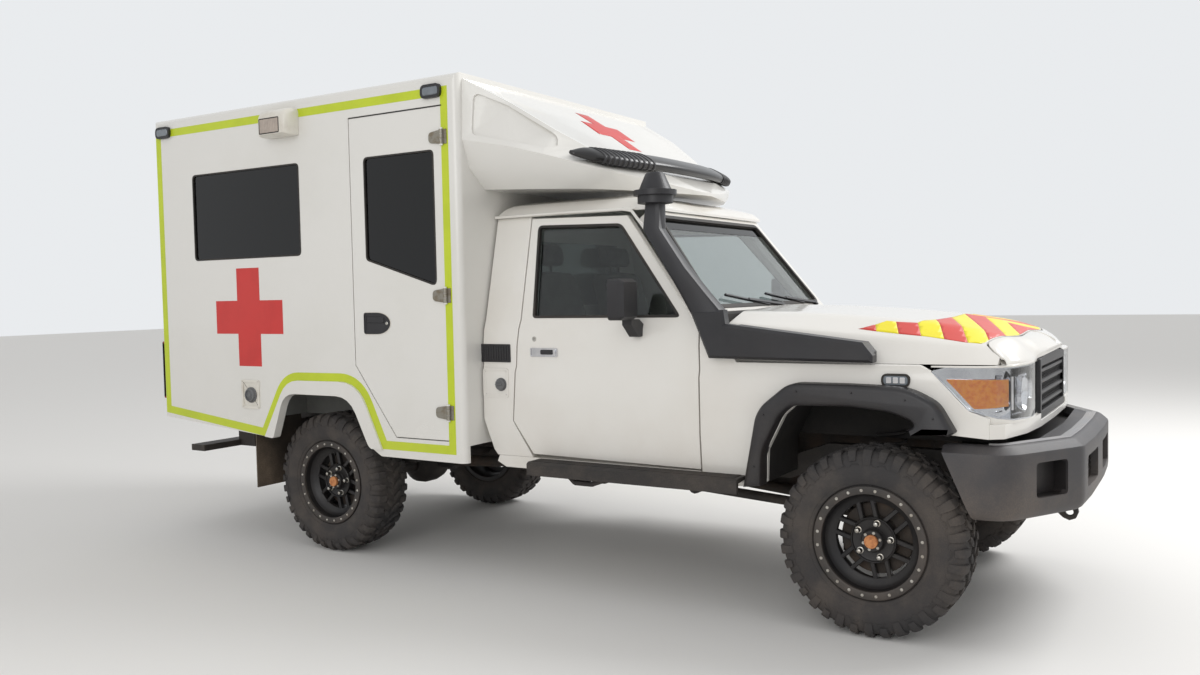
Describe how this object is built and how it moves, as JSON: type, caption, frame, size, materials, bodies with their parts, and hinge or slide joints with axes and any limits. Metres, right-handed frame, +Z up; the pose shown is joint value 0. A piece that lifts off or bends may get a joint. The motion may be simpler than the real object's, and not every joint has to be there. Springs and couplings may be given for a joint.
{
  "type": "ambulance truck",
  "caption": "Four-wheel-drive ambulance truck with a cab, opening doors and bonnet, steered wheels, a snorkel and a tall boxed treatment room.",
  "frame": {"origin": "on the ground, midway between the front of the bumper and the rear of the step, on the centre plane", "axes": "+X towards the vehicle's front, +Y towards its left side, +Z up"},
  "size_m": [5.406, 2.19, 2.599],
  "materials": {
    "body_paint": "gloss white paint",
    "box_paint": "gloss white moulded panels",
    "floor_lining": "matt grey floor",
    "black_plastic": "grained black",
    "bumper_plastic": "satin black",
    "chassis_black": "satin black chassis paint",
    "cast_metal": "raw casting",
    "tyre": "matt rubber",
    "rim_black": "satin black",
    "glass": "clear",
    "tinted_glass": "dark tint",
    "clear_lens": "clear moulded lens",
    "bar_lens": "dark smoked lens",
    "red_lens": "red moulded lens",
    "rubber": "matt",
    "seat_fabric": "woven",
    "interior_plastic": "grained"
  },
  "bodies": {
    "chassis": {"arch_flares": "black_plastic", "box_fairing": "box_paint", "box_floor": "floor_lining", "box_front_wall": "box_paint", "box_rear_frame": "box_paint", "box_roof": "box_paint", "box_side_left": "box_paint", "box_side_right": "box_paint", "box_windows": "tinted_glass", "bulkhead": "body_paint", "cab_floor": "body_paint", "cab_glass": "glass", "cab_rear": "body_paint", "cab_roof": "body_paint", "dashboard": "interior_plastic", "front_axle": "chassis_black", "front_bumper": "bumper_plastic", "front_wings": "body_paint", "fuel_tank": "chassis_black", "grille": "black_plastic", "headlamps": "clear_lens", "ladder_frame": "chassis_black", "light_bar": "bar_lens", "mud_flaps": "rubber", "powertrain": "cast_metal", "rear_axle": "chassis_black", "rear_lamps": "red_lens", "screen_frame": "body_paint", "seats": "seat_fabric", "side_lamps": "clear_lens", "snorkel": "black_plastic", "steps": "chassis_black", "suspension": "chassis_black", "tow_eyes": "chassis_black", "wipers": "black_plastic"},
    "knuckle_right": {"knuckle_right": "chassis_black"},
    "knuckle_left": {"knuckle_left": "chassis_black"},
    "tie_rod": {"tie_rod": "chassis_black"},
    "wheel_front_right": {"tyre_front_right": "tyre", "rim_front_right": "rim_black"},
    "wheel_front_left": {"tyre_front_left": "tyre", "rim_front_left": "rim_black"},
    "wheel_rear_right": {"tyre_rear_right": "tyre", "rim_rear_right": "rim_black"},
    "wheel_rear_left": {"tyre_rear_left": "tyre", "rim_rear_left": "rim_black"},
    "cab_door_right": {"door_right": "body_paint", "door_glass_right": "glass", "mirror_right": "black_plastic"},
    "cab_door_left": {"door_left": "body_paint", "door_glass_left": "glass", "mirror_left": "black_plastic"},
    "bonnet": {"bonnet": "body_paint"},
    "side_door": {"side_door": "box_paint", "side_door_glass": "tinted_glass"},
    "rear_door_right": {"rear_door_right": "box_paint", "rear_door_glass_right": "tinted_glass"},
    "rear_door_left": {"rear_door_left": "box_paint", "rear_door_glass_left": "tinted_glass"}
  },
  "joints": [
    {"name": "steer_right", "type": "hinge", "parent": "chassis", "child": "knuckle_right", "pos_m": [1.913, -0.595, 0.402], "axis": [0, 0, 1], "range_deg": [-30, 30]},
    {"name": "steer_left", "type": "hinge", "parent": "chassis", "child": "knuckle_left", "pos_m": [1.913, 0.595, 0.402], "axis": [0, 0, 1], "range_deg": [-30, 30]},
    {"name": "tie_rod_pivot", "type": "hinge", "parent": "knuckle_right", "child": "tie_rod", "pos_m": [1.733, -0.595, 0.304], "axis": [0, 0, 1], "range_deg": [-30, 30]},
    {"name": "spin_front_right", "type": "hinge", "parent": "knuckle_right", "child": "wheel_front_right", "pos_m": [1.913, -0.7575, 0.402], "axis": [0, 1, 0], "continuous": true},
    {"name": "spin_front_left", "type": "hinge", "parent": "knuckle_left", "child": "wheel_front_left", "pos_m": [1.913, 0.7575, 0.402], "axis": [0, 1, 0], "continuous": true},
    {"name": "spin_rear_right", "type": "hinge", "parent": "chassis", "child": "wheel_rear_right", "pos_m": [-1.267, -0.7325, 0.402], "axis": [0, 1, 0], "continuous": true},
    {"name": "spin_rear_left", "type": "hinge", "parent": "chassis", "child": "wheel_rear_left", "pos_m": [-1.267, 0.7325, 0.402], "axis": [0, 1, 0], "continuous": true},
    {"name": "cab_door_right_hinge", "type": "hinge", "parent": "chassis", "child": "cab_door_right", "pos_m": [1.129, -0.852, 1], "axis": [0, 0, 1], "range_deg": [0, 65]},
    {"name": "cab_door_left_hinge", "type": "hinge", "parent": "chassis", "child": "cab_door_left", "pos_m": [1.129, 0.852, 1], "axis": [0, 0, -1], "range_deg": [0, 65]},
    {"name": "bonnet_hinge", "type": "hinge", "parent": "chassis", "child": "bonnet", "pos_m": [1.223, 0, 1.375], "axis": [0, -1, 0], "range_deg": [0, 45]},
    {"name": "side_door_hinge", "type": "hinge", "parent": "chassis", "child": "side_door", "pos_m": [-0.221, -1.01, 1.5], "axis": [0, 0, 1], "range_deg": [0, 110]},
    {"name": "rear_door_right_hinge", "type": "hinge", "parent": "chassis", "child": "rear_door_right", "pos_m": [-2.563, -0.863, 1.6], "axis": [0, 0, 1], "range_deg": [0, 110]},
    {"name": "rear_door_left_hinge", "type": "hinge", "parent": "chassis", "child": "rear_door_left", "pos_m": [-2.563, 0.863, 1.6], "axis": [0, 0, -1], "range_deg": [0, 110]}
  ],
  "couplings": [
    {"joint": "steer_left", "follows": "steer_right", "ratio": 1},
    {"joint": "tie_rod_pivot", "follows": "steer_right", "ratio": -1}
  ]
}
